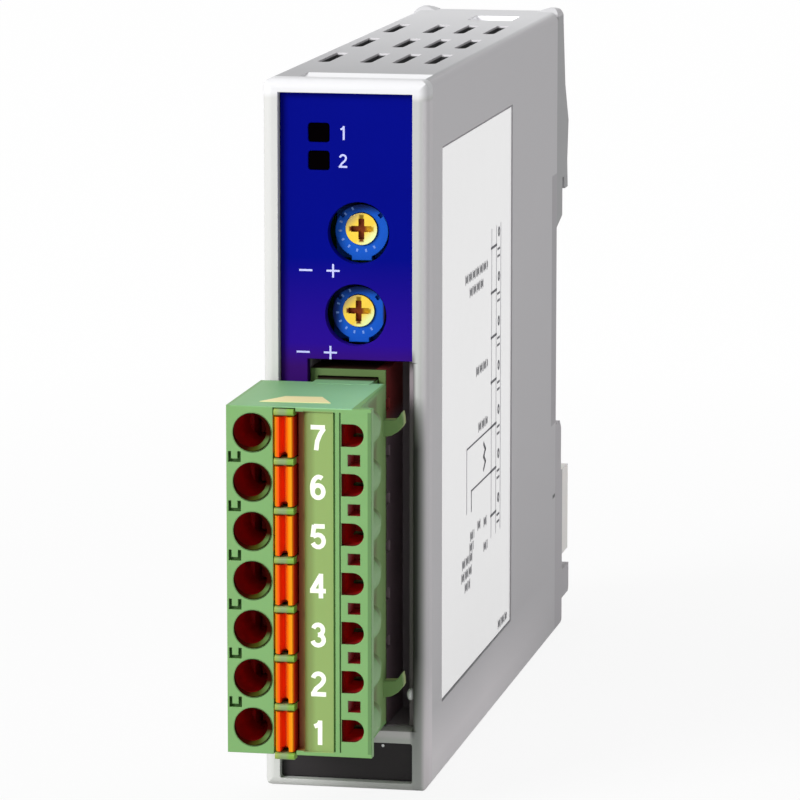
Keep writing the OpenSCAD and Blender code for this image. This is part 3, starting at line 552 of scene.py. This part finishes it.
def rim_tint(tree, place, colour):
    """The frame, in painted light and shade: a bright top and outer edge, a lighter sill, and a
    right rim that is darker and lies in the painted soft shade of the plug beside the terminal bay."""
    inner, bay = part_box("front_panel")[1].x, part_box("terminal_bay")
    # Painted light on the top
    top = slope(tree, place, 2, BODY_HIGH.z - 2*MM, BODY_HIGH.z - 1.4*MM)
    colour = lay(tree, colour, "#DADADC", top)
    # Painted shade over the right rim, with painted light on its outer edge that grows towards the
    # foot
    right = inside(tree, place, (inner, -1, -1), (1, 1, BODY_HIGH.z - 2*MM), 0.2*MM)
    colour = lay(tree, colour, "#B6B7B6", right)
    outer = slope(tree, place, 0, BODY_HIGH.x - 0.75*MM, BODY_HIGH.x - 0.35*MM)
    bright = lay(tree, "#D2CFD2", "#F0EAEE", slope(tree, place, 2, 14*MM, 5*MM))
    colour = lay(tree, colour, bright, outer, right)
    # Painted light on the sill below the bay
    sill = inside(tree, place, (-inner, -1, bay[0].z + 0.2*MM), (inner, 1, bay[0].z + 1.5*MM),
                  0.2*MM)
    colour = lay(tree, colour, "#D6D1D4", sill)
    # Painted shade on the inner edge of the right rim beside the bay, and the plug's painted soft
    # shadow over its middle
    colour = lay(tree, colour, "#5C565A", slope(tree, place, 0, inner + 0.5*MM, inner + 0.1*MM),
                 right, slope(tree, place, 2, bay[0].z, bay[0].z + 1*MM),
                 slope(tree, place, 2, bay[1].z + 0.5*MM, bay[1].z - 0.5*MM))
    return lay(tree, colour, "#464446", slope(tree, place, 2, bay[1].z - 4.6*MM, bay[1].z - 10*MM),
               slope(tree, place, 2, bay[0].z - 3*MM, bay[0].z + 9*MM),
               slope(tree, place, 0, inner + 1.6*MM, inner + 0.6*MM), right)


def lever_tint(tree, place, colour):
    """Painted light and shade across each lever: orange ridges and a red valley, in place of the
    light that the plastic passes and throws back into the valley.
    """
    half = (LEVERS[0][1].x - LEVERS[0][0].x)/2
    node = add(tree, "ShaderNodeValToRGB", {
        0: slope(tree, place, 0, LEVER_X - half, LEVER_X + half)})
    stops = ((0.0, "#D89A08"), (0.05, "#DC8404"), (0.15, "#D46204"), (0.26, "#F04204"),
             (0.36, "#E42802"), (0.46, "#EA3A02"), (0.56, "#FF8206"), (0.67, "#E66E06"),
             (0.77, "#F48E08"), (0.9, "#FFA010"), (0.96, "#E83006"), (1.0, "#A81A04"))
    while len(node.color_ramp.elements) < len(stops):
        node.color_ramp.elements.new(0.5)
    for element, (share, code) in zip(node.color_ramp.elements, stops):
        element.position = share
        element.color = linear(code)
    return node.outputs[0]


def panel_tint(tree, place, colour):
    """The blue film turns violet below the trimmers, a painted cast of reflected light, and darkens
    at its foot in painted shade.
    """
    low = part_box("trimmer_base_2")[0].z
    colour = lay(tree, colour, "#2A0C8C", slope(tree, place, 2, low + 9*MM, low - 1*MM))
    return lay(tree, colour, "#361068", slope(tree, place, 2, low, low - 2.5*MM))


def ring_tint(tree, place, colour):
    """A trimmer's base is darker at its head, where the panel shades it, and the lower one
    also on both sides."""
    for name in ("trimmer_base_1", "trimmer_base_2"):
        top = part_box(name)[1].z
        head = inside(tree, place, (-1, -1, top - 0.8*MM), (1, 1, top + 1*MM), 0.4*MM)
        colour = lay(tree, colour, "#08246A", head)
    low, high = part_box("trimmer_base_2")
    right = inside(tree, place, (high.x - 0.45*MM, -1, low.z + 0.6*MM), (1, 1, high.z), 0.1*MM)
    left = inside(tree, place, (-1, -1, low.z + 1*MM), (low.x + 0.9*MM, 1, high.z), 0.5*MM)
    return lay(tree, lay(tree, colour, "#1A0A24", right), "#12246A", left)


def rotor_tint(tree, place, colour):
    """The rotors: a painted highlight at the lower right, painted shade at the upper left, brown
    oxide and painted shade in the cross slot, and painted slot shade just past the ends of its
    arms."""
    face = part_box("trimmer_rotor_1")[0].y
    for name in ("trimmer_rotor_1", "trimmer_rotor_2"):
        low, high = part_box(name)
        own = inside(tree, place, (-1, -1, low.z - 0.5*MM), (1, 1, high.z + 0.5*MM))
        centre = ((low.x + high.x)/2, face, (low.z + high.z)/2)
        moved = add(tree, "ShaderNodeVectorMath", {0: place, 1: centre},
                    operation="SUBTRACT").outputs[0]
        lit = lower_right(tree, moved)
        # A painted highlight at the lower right and painted shade at the upper left
        colour = lay(tree, colour, "#E8F2AA", slope(tree, lit, 0, 0.5*MM, 1.4*MM), own)
        colour = lay(tree, colour, "#B8A060", slope(tree, lit, 0, -0.7*MM, -1.5*MM), own)
        # Painted shade past the ends of the upper, lower, left and right arm, in millimetres from
        # the centre
        for tone, start, end in (("#806408", (-0.24, -1, 0.9), (0.24, 1, 1.5)),
                                 ("#6E3A08", (-0.24, -1, -1.35), (0.24, 1, -0.9)),
                                 ("#6A2A08", (-1.3, -1, -0.24), (-0.9, 1, 0.24)),
                                 ("#B8900C", (0.9, -1, -0.24), (1.3, 1, 0.24))):
            arm = inside(tree, moved, Vector(start)*MM, Vector(end)*MM, 0.08*MM)
            colour = lay(tree, colour, tone, arm)
        # Brown oxide and painted shade in the slot, turning gold towards its lit right side
        brown = lay(tree, "#7A3208", "#C49210", slope(tree, moved, 0, 0.2*MM, 0.6*MM))
        colour = lay(tree, colour, brown, slope(tree, moved, 1, 0.08*MM, 0.4*MM), own)
    return colour


class CONVERTER_OT_housing(bpy.types.Operator):
    """Give the grey shell, its frame and the black parts their moulded finish"""
    bl_idname = "converter.housing"
    bl_label = "Housing"

    def execute(self, context):
        # Moulded polyamide, light grey, fine spark-eroded grain: soft, even, slightly rough
        for name, low, high, paint in (("case_body", "#CBC9CC", "#CFCDD0", shell_tint),
                                       ("front_frame", "#C6C6C4", "#CACAC8", rim_tint)):
            wear(finish(f"polyamide_moulded_light_grey_{name}", low, high, 0.6, 0.3, 0.012,
                        patch=9, specular=0.3, paint=paint), name)
        # Moulded polyamide, black, satin: drinks the light
        wear(finish("polyamide_moulded_black", "#1E1A1C", "#262224", 0.5, 0.3, 0.01, specular=0.25),
             "lower_cover", "board_link", "converter_chip")
        # Moulded polyamide, black, matt: the tray in the terminal bay, painted a light mauve grey
        # that stands in for the light in the bay
        wear(finish("polyamide_tray_painted_light", "#948A90", "#9A9096", 0.7, 0.3, 0.01,
                    specular=0.1), "terminal_bay")
        # A small moulding nib on the rim's inner face, white as a painted glint, and a light dot on
        # the lower cover, a painted highlight
        pale = finish("polyamide_painted_glint", "#FAF8FC", "#FFFFFF", 0.25, 0.3, 0.004, edge=0.02,
                      specular=0.6)
        rim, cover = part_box("front_panel")[1].x + 0.1*MM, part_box("lower_cover")
        nib = Vector((rim - 0.36*MM, FRONT + 1.2*MM, cover[1].z + 5.2*MM))
        shape = bmesh.new()
        bmesh.ops.create_uvsphere(shape, u_segments=20, v_segments=12, radius=1.0,
                                  matrix=Matrix.LocRotScale(nib, None, Vector((0.4, 0.7, 0.64))*MM))
        dot = rounded((3.66*MM, cover[1].z - 0.56*MM), (3.96*MM, cover[1].z - 0.26*MM), 0.14*MM)
        slab(shape, dot, "Y", cover[0].y, -0.02*MM)
        piece("glint_nib_and_dot", solid(shape), pale, "unit")
        # Moulded acetal, ivory: waxy and smooth, where the latch slides
        wear(finish("acetal_moulded_ivory", "#F7F3EE", "#FEFBF6", 0.42, 0.4, 0.006, glow=0.1),
             "rail_latch")
        return {"FINISHED"}


class CONVERTER_OT_panel(bpy.types.Operator):
    """Give the blue panel, the indicators and the trimmers their finish"""
    bl_idname = "converter.panel"
    bl_label = "Adjusting panel"

    def execute(self, context):
        # Polyester film, reverse-printed deep blue: even, satin, almost no reflection, with a
        # painted violet cast and painted shade low down
        wear(finish("polyester_film_blue", "#010776", "#020984", 0.5, 0.5, 0.004, patch=12,
                    specular=0.02, paint=panel_tint), "front_panel")
        # Smoked polycarbonate lens over an unlit indicator: nearly black, matt against glare
        wear(finish("polycarbonate_smoked", "#020102", "#040203", 0.5, 0.4, 0.004, specular=0.0),
             "status_led_1", "status_led_2")
        # Moulded polybutylene, sky blue: the base of a trimmer, satin
        wear(finish("polybutylene_moulded_blue", "#0C50BC", "#145ECA", 0.45, 0.3, 0.008,
                    specular=0.1, paint=ring_tint), "trimmer_base_1", "trimmer_base_2")
        # Turned brass, bright, with brown oxide and painted shade in the cross slot, and painted
        # light on its face
        wear(finish("brass_turned", "#F6D44E", "#F0C43C", 0.34, 0.25, 0.006, metallic=0.65,
                    edge=0.06, paint=rotor_tint), "trimmer_rotor_1", "trimmer_rotor_2")
        return {"FINISHED"}


class CONVERTER_OT_plug(bpy.types.Operator):
    """Give the plug, its header, levers and clamps their finish"""
    bl_idname = "converter.plug"
    bl_label = "Plug"

    def execute(self, context):
        # Moulded polyamide, soft green: satin, a little light passes its thin edges
        wear(finish("polyamide_moulded_green", "#709D5F", "#78A466", 0.48, 0.35, 0.01, patch=5,
                    glow=0.05, specular=0.3, paint=plug_tint), "plug_body")
        # The same polyamide for the bars, for the header and for the mouths of the entries, with
        # painted light and shade; the mouths show only painted shade
        wear(finish("polyamide_moulded_green_bars", "#709D5F", "#78A466", 0.48, 0.35, 0.01,
                    patch=5, specular=0.3, paint=bar_tint), "lever_bars")
        wear(finish("polyamide_moulded_green_header", "#56703C", "#5E7844", 0.48, 0.35, 0.01,
                    patch=5, specular=0.3, paint=header_tint), "header_shell")
        mouth = finish("polyamide_moulded_green_entry", "#6C8E50", "#6C8E50", 0.5, 0.35, 0.01,
                       specular=0.0, edge=0.02, paint=entry_tint)
        mesh = from_nodes(funnel_row_tree(), {
            "Count": POLES, "Step": PITCH, "Mouth": 2.07*MM, "Throat": 1.7*MM, "Depth": 0.3*MM,
            "Across": -0.25*MM, "Up": 0.16*MM, "Material": mouth})
        mesh.transform(Matrix.Translation((ENTRY_X, PLUG_FACE - 0.012*MM, POLE_Z[0])))
        piece("entry_funnels", mesh, mouth, "plug")
        # Moulded polybutylene, orange: bright ridges and a red valley, both painted light and shade
        wear(finish("polybutylene_moulded_orange", "#FF7A08", "#FF9E14", 0.36, 0.35, 0.006,
                    edge=0.08, specular=0.12, paint=lever_tint),
             *[f"lever_{pole}" for pole in range(1, POLES + 1)])
        # Tinned copper alloy, stamped: pins, soft bright metal
        wear(finish("copper_alloy_tinned", "#B4B4AE", "#C4C4C0", 0.32, 0.2, 0.004, metallic=1.0,
                    edge=0.05, specular=0.5), "header_pins")
        # Copper alloy, in a dark red-brown that repeats the painted maroon shade of the holes: the
        # cage clamps deep in the plug
        wear(finish("copper_alloy_painted_maroon", "#A82A1C", "#B83220", 0.5, 0.2, 0.004, metallic=0.1,
                    edge=0.05), "contact_clamps")
        # Patented spring wire, bright drawn
        wear(finish("spring_wire_bright", "#9C9C9E", "#AEAEB2", 0.26, 0.15, 0.002, metallic=1.0,
                    edge=0.04, specular=0.5), "latch_spring")
        return {"FINISHED"}


class CONVERTER_OT_electronics(bpy.types.Operator):
    """Give the boards and components behind the vents their finish"""
    bl_idname = "converter.electronics"
    bl_label = "Electronics"

    def execute(self, context):
        # Glass-epoxy laminate under green solder mask: glossy, faint weave
        wear(finish("laminate_solder_mask_green", "#1C5A34", "#24683C", 0.3, 0.5, 0.006),
             "main_board", "front_board")
        # Sintered ferrite: dull, dark, slightly grainy
        wear(finish("ferrite_sintered", "#2E2C2A", "#3A3836", 0.7, 0.2, 0.012), "transformer_core")
        # Polyester tape over the winding: yellow, glossy
        wear(finish("polyester_tape_yellow", "#C09420", "#D0A830", 0.28, 0.6, 0.01),
             "transformer_bobbin")
        # Shrunk sleeve on the aluminium cans: dark slate, satin
        wear(finish("sleeve_shrunk_slate", "#2A2F35", "#363C42", 0.4, 0.4, 0.006),
             "capacitor_1", "capacitor_2")
        # Moulded epoxy, white: the isolators
        wear(finish("epoxy_moulded_white", "#DEDCD4", "#EAE8E0", 0.5, 0.3, 0.006), "isolators")
        # Moulded fuse cap, brown
        wear(finish("fuse_cap_brown", "#7E4226", "#925232", 0.34, 0.4, 0.006), "fuse")
        return {"FINISHED"}


class CONVERTER_OT_pole_numbers(bpy.types.Operator):
    """Print the plain pole numbers on the plug's strip and add its blank marker"""
    bl_idname = "converter.pole_numbers"
    bl_label = "Pole numbers"

    def execute(self, context):
        marks = context.scene.converter_marks
        # Pad-printed ink, off-white with a green cast: flat and matt
        ink = finish("ink_pad_printed_white", "#F4FCE0", "#FCFFF0", 0.6, 0.25, 0.003, edge=0.02,
                     specular=0.2)
        middle = PLUG_LOW.x + 9.45*MM
        entries = [(str(pole + 1), middle, LEVER_Z[pole], marks.number_height)
                   for pole in range(POLES)]
        piece("pole_numbers", numerals(entries, STRIP_FACE, marks.ink, 0.185), ink, "plug")
        # Coated paper sticker, pale yellow and left blank
        shape = bmesh.new()
        corners = ((2.9, 2.6), (10.2, 2.9), (8.6, 6.4), (4.8, 6.2))
        slab(shape, [(PLUG_LOW.x + a*MM, PLUG_FACE + b*MM) for a, b in corners], "Z", PLUG_TOP,
             0.06*MM)
        paper = finish("paper_coated_pale_yellow", "#EFE2A0", "#F6ECB4", 0.5, 0.3, 0.004, edge=0.03)
        piece("blank_marker", solid(shape), paper, "plug")
        return {"FINISHED"}


class CONVERTER_OT_panel_marks(bpy.types.Operator):
    """Print generic marks beside the indicators and the trimmers"""
    bl_idname = "converter.panel_marks"
    bl_label = "Panel marks"

    def execute(self, context):
        marks = context.scene.converter_marks
        # Screen-printed ink, cool white
        ink = finish("ink_screen_printed_white", "#B4B8F4", "#C8CCFA", 0.55, 0.25, 0.002,
                     edge=0.02, specular=0.2)
        entries = []
        for lamp in (1, 2):
            low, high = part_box(f"status_led_{lamp}")
            entries.append((str(lamp), high.x + 1.5*MM, (low.z + high.z)/2, marks.panel_height))
        piece("lamp_numbers", numerals(entries, PANEL_FACE, marks.ink, 0.14), ink, "unit")
        shape = bmesh.new()
        for trimmer in (1, 2):
            low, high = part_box(f"trimmer_base_{trimmer}")
            width, reach = 0.2*MM, 0.6*MM
            minus, plus, z = low.x - 2.6*MM, low.x + 0.3*MM, low.z - 0.95*MM
            for start, end in (((minus - reach, z), (minus + reach, z)),
                               ((plus - reach, z), (plus + reach, z)),
                               ((plus, z - reach), (plus, z - width)),
                               ((plus, z + width), (plus, z + reach))):
                slab(shape, stroke(start, end, width), "Y", PANEL_FACE, -marks.ink)
        piece("trimmer_signs", solid(shape), ink, "unit")
        # The same ink, worn thin over the blue of the trimmers
        pips = finish("ink_screen_printed_pale_blue", "#5C86D8", "#86A8EC", 0.55, 0.25, 0.002,
                      edge=0.02, specular=0.2)
        tree = tick_arc_tree()
        for trimmer in (1, 2):
            low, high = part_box(f"trimmer_base_{trimmer}")
            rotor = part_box(f"trimmer_rotor_{trimmer}")
            mesh = from_nodes(tree, {
                "Radius": 2.3*MM, "Tick Length": 0.32*MM, "Tick Width": 0.2*MM,
                "Ink": marks.ink, "Count": 9, "Start": math.radians(115),
                "Sweep": math.radians(190), "Material": pips})
            centre = Vector(((rotor[0].x + rotor[1].x)/2, low.y, (rotor[0].z + rotor[1].z)/2))
            mesh.transform(Matrix.Translation(centre) @ Matrix.Rotation(math.radians(90), 4, "X"))
            piece(f"trimmer_scale_{trimmer}", mesh, pips, "unit")
        return {"FINISHED"}


class CONVERTER_OT_side_label(bpy.types.Operator):
    """Finish the side label and print a generic wiring sketch on it, with no words"""
    bl_idname = "converter.side_label"
    bl_label = "Side label"

    def execute(self, context):
        marks = context.scene.converter_marks
        # Coated polyester label, cool white, smooth: mirrors the room at a low angle
        wear(finish("polyester_label_white", "#FEFCFE", "#FFFEFF", 0.24, 0.4, 0.002, patch=14,
                    edge=0.05, specular=0.8, coat=1.0), "side_label")
        # Thermal print, dark grey and pale grey
        ink, pale = [
            finish(f"thermal_print_{name}", low, high, 0.6, 0.25, 0.002, edge=0.01, specular=0.2)
            for name, low, high in (("grey", "#5C5C62", "#727278"), ("pale", "#CCCCD0", "#D6D6DA"))]
        step = 5.02*MM
        rows = [22.6*MM + k*step for k in range(POLES)]
        mesh = from_nodes(ring_row_tree(), {"Count": POLES, "Step": step, "Radius": 0.42*MM,
                                            "Line": 0.3*MM, "Ink": marks.ink, "Material": ink})
        mesh.transform(Matrix(((0, 0, 1, LABEL_FACE + marks.ink/2), (1, 0, 0, FRONT + 42.4*MM),
                               (0, 1, 0, rows[0] + 1.3*MM), (0, 0, 0, 1))))
        piece("label_terminals", mesh, ink, "unit")
        dark, faint = bmesh.new(), bmesh.new()

        def line(shape, start, end, width):
            slab(shape, stroke(*[(FRONT + y*MM, z) for y, z in (start, end)], width), "X",
                 LABEL_FACE, marks.ink)

        def words(low, high, z):
            # Fine upright strokes in place of words
            apart = 0.36
            for k in range(int((high - low)/apart)):
                if k % 6 != 5:
                    y, tall = low + apart*k, (0.5, 0.3, 0.42, 0.26)[k*7 % 4]*MM
                    line(dark, (y, z - tall), (y, z + tall), 0.1*MM)

        for y in (37.9, 40.8, 43.6):
            line(faint, (y, 20.2*MM), (y, 54.8*MM), marks.line*0.7)
        # Leads of the terminals, each with two short marks beside it
        for z in rows:
            line(dark, (37.6, z), (40.9, z), marks.line*1.2)
            for drop in (0.6, 1.4):
                line(dark, (41.6, z - drop*MM), (42.9, z - drop*MM), marks.line)
        # Two long leads with their ends turned down, and a small sensor sign
        line(dark, (23, rows[2]), (37.6, rows[2]), marks.line*0.8)
        line(faint, (22.9, rows[2]), (22.9, rows[1] - 2*MM), marks.line)
        line(dark, (25.7, rows[1]), (37.6, rows[1]), marks.line*0.8)
        line(dark, (25.7, rows[1]), (25.7, rows[1] - 2.2*MM), marks.line)
        for k in range(4):
            line(dark, (33.2 + k % 2, rows[2] - (1.1 + 0.7*k)*MM),
                 (34.2 - k % 2, rows[2] - (1.8 + 0.7*k)*MM), marks.line*1.8)
        for low, high, z in ((22, 36, 51.3), (24.6, 33.2, 49.6), (28.6, 36, 40.3), (30, 36, 33.9),
                             (29.6, 32, 23), (33.4, 35.6, 22.7), (25.2, 27.8, 22.6),
                             (24.8, 27.4, 21.4), (33.4, 36, 19.9), (20.4, 27.2, 20.3),
                             (20, 26.6, 18.9), (22, 25.4, 17.5), (42.6, 48.4, 9.2)):
            words(low, high, z*MM)
        piece("label_print", solid(dark), ink, "unit")
        piece("label_frame", solid(faint), pale, "unit")
        return {"FINISHED"}


def seen(tree):
    """1 for a ray that sees a thing directly or through a mirror or glass, 0 for its light."""
    rays = add(tree, "ShaderNodeLightPath").outputs
    most = rays["Is Camera Ray"]
    for kind in ("Is Glossy Ray", "Is Transmission Ray"):
        most = add(tree, "ShaderNodeMath", {0: most, 1: rays[kind]}, operation="MAXIMUM").outputs[0]
    return most


class CONVERTER_OT_studio(bpy.types.Operator):
    """Set the floor, the soft lights, the background and the camera"""
    bl_idname = "converter.studio"
    bl_label = "Studio"

    def execute(self, context):
        scene = context.scene
        studio = scene.converter_studio
        scene.view_settings.view_transform = "Standard"
        shape = bmesh.new()
        slab(shape, [(-4, -4), (4, -4), (4, 4), (-4, 4)], "Z", -2*MM, 1.95*MM)
        mesh = solid(shape)
        material = bpy.data.materials.new("painted_floor_white")
        material.use_nodes = True
        tree = material.node_tree
        tree.nodes.clear()
        spot = add(tree, "ShaderNodeTexCoord").outputs["Object"]
        away = add(tree, "ShaderNodeVectorMath", {0: spot}, operation="LENGTH").outputs["Value"]
        clear = add(tree, "ShaderNodeMapRange", {
            "Value": away, "From Min": 60*MM, "From Max": 250*MM, "To Min": studio.white,
            "To Max": 0.99})
        share = add(tree, "ShaderNodeMath", {0: seen(tree), 1: clear.outputs[0]},
                    operation="MULTIPLY")
        paint = add(tree, "ShaderNodeBsdfDiffuse", {"Color": "#E0E0E0"})
        light = add(tree, "ShaderNodeEmission", {"Color": "#FFFFFF", "Strength": 1.0})
        cover = add(tree, "ShaderNodeMixShader", {
            0: share.outputs[0], 1: paint.outputs[0], 2: light.outputs[0]})
        add(tree, "ShaderNodeOutputMaterial", {"Surface": cover.outputs[0]})
        mesh.materials.append(material)
        floor = bpy.data.objects.new("floor", mesh)
        scene.collection.objects.link(floor)

        world = bpy.data.worlds.new("studio")
        scene.world = world
        world.use_nodes = True
        tree = world.node_tree
        tree.nodes.clear()
        level = add(tree, "ShaderNodeMapRange", {
            "Value": seen(tree), "To Min": studio.room, "To Max": 1.0})
        sky = add(tree, "ShaderNodeBackground", {
            "Color": "#FFFFFF", "Strength": level.outputs["Result"]})
        add(tree, "ShaderNodeOutputWorld", {"Surface": sky.outputs[0]})

        aim = Vector((0, -10*MM, 38*MM))
        for name, place, size, power in (("key", (-0.78, -1.1, 0.66), 0.6, studio.key),
                                         ("top", (-0.1, 0.1, 1.4), 0.8, studio.key*0.15)):
            lamp = bpy.data.lights.new(name, "AREA")
            lamp.shape = "SQUARE"
            lamp.size = size
            lamp.energy = power
            holder = bpy.data.objects.new(name, lamp)
            scene.collection.objects.link(holder)
            holder.location = place
            holder.rotation_euler = (aim - Vector(place)).to_track_quat("-Z", "Y").to_euler()

        lens = bpy.data.cameras.new("camera")
        lens.sensor_width = 36.0
        lens.lens = CAMERA_LENS
        lens.clip_start, lens.clip_end = 0.01, 20
        camera = bpy.data.objects.new("camera", lens)
        scene.collection.objects.link(camera)
        camera.location = CAMERA_PLACE
        look = CAMERA_TARGET - CAMERA_PLACE
        camera.rotation_euler = look.to_track_quat("-Z", "Y").to_euler()
        scene.camera = camera
        return {"FINISHED"}


class CONVERTER_PT_panel(bpy.types.Panel):
    """Finishes and marks of the converter"""
    bl_label = "Converter"
    bl_space_type = "VIEW_3D"
    bl_region_type = "UI"
    bl_category = "Converter"

    def draw(self, context):
        for group in (context.scene.converter_marks, context.scene.converter_studio):
            box = self.layout.box()
            for key in group.__annotations__:
                box.prop(group, key)
        for step in STEPS:
            self.layout.operator(step.bl_idname)


STEPS = (CONVERTER_OT_studio, CONVERTER_OT_housing, CONVERTER_OT_panel, CONVERTER_OT_plug,
         CONVERTER_OT_electronics, CONVERTER_OT_pole_numbers, CONVERTER_OT_panel_marks,
         CONVERTER_OT_side_label)
CLASSES = (ConverterMarks, ConverterStudio, CONVERTER_PT_panel) + STEPS


def register():
    """Register the classes and give the scene its settings."""
    for item in CLASSES:
        bpy.utils.register_class(item)
    bpy.types.Scene.converter_marks = bpy.props.PointerProperty(type=ConverterMarks)
    bpy.types.Scene.converter_studio = bpy.props.PointerProperty(type=ConverterStudio)


def unregister():
    """Undo register."""
    del bpy.types.Scene.converter_studio
    del bpy.types.Scene.converter_marks
    for item in reversed(CLASSES):
        bpy.utils.unregister_class(item)


def main():
    """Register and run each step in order."""
    register()
    for step in STEPS:
        group, name = step.bl_idname.split(".")
        getattr(getattr(bpy.ops, group), name)()


if __name__ == "__main__":
    main()
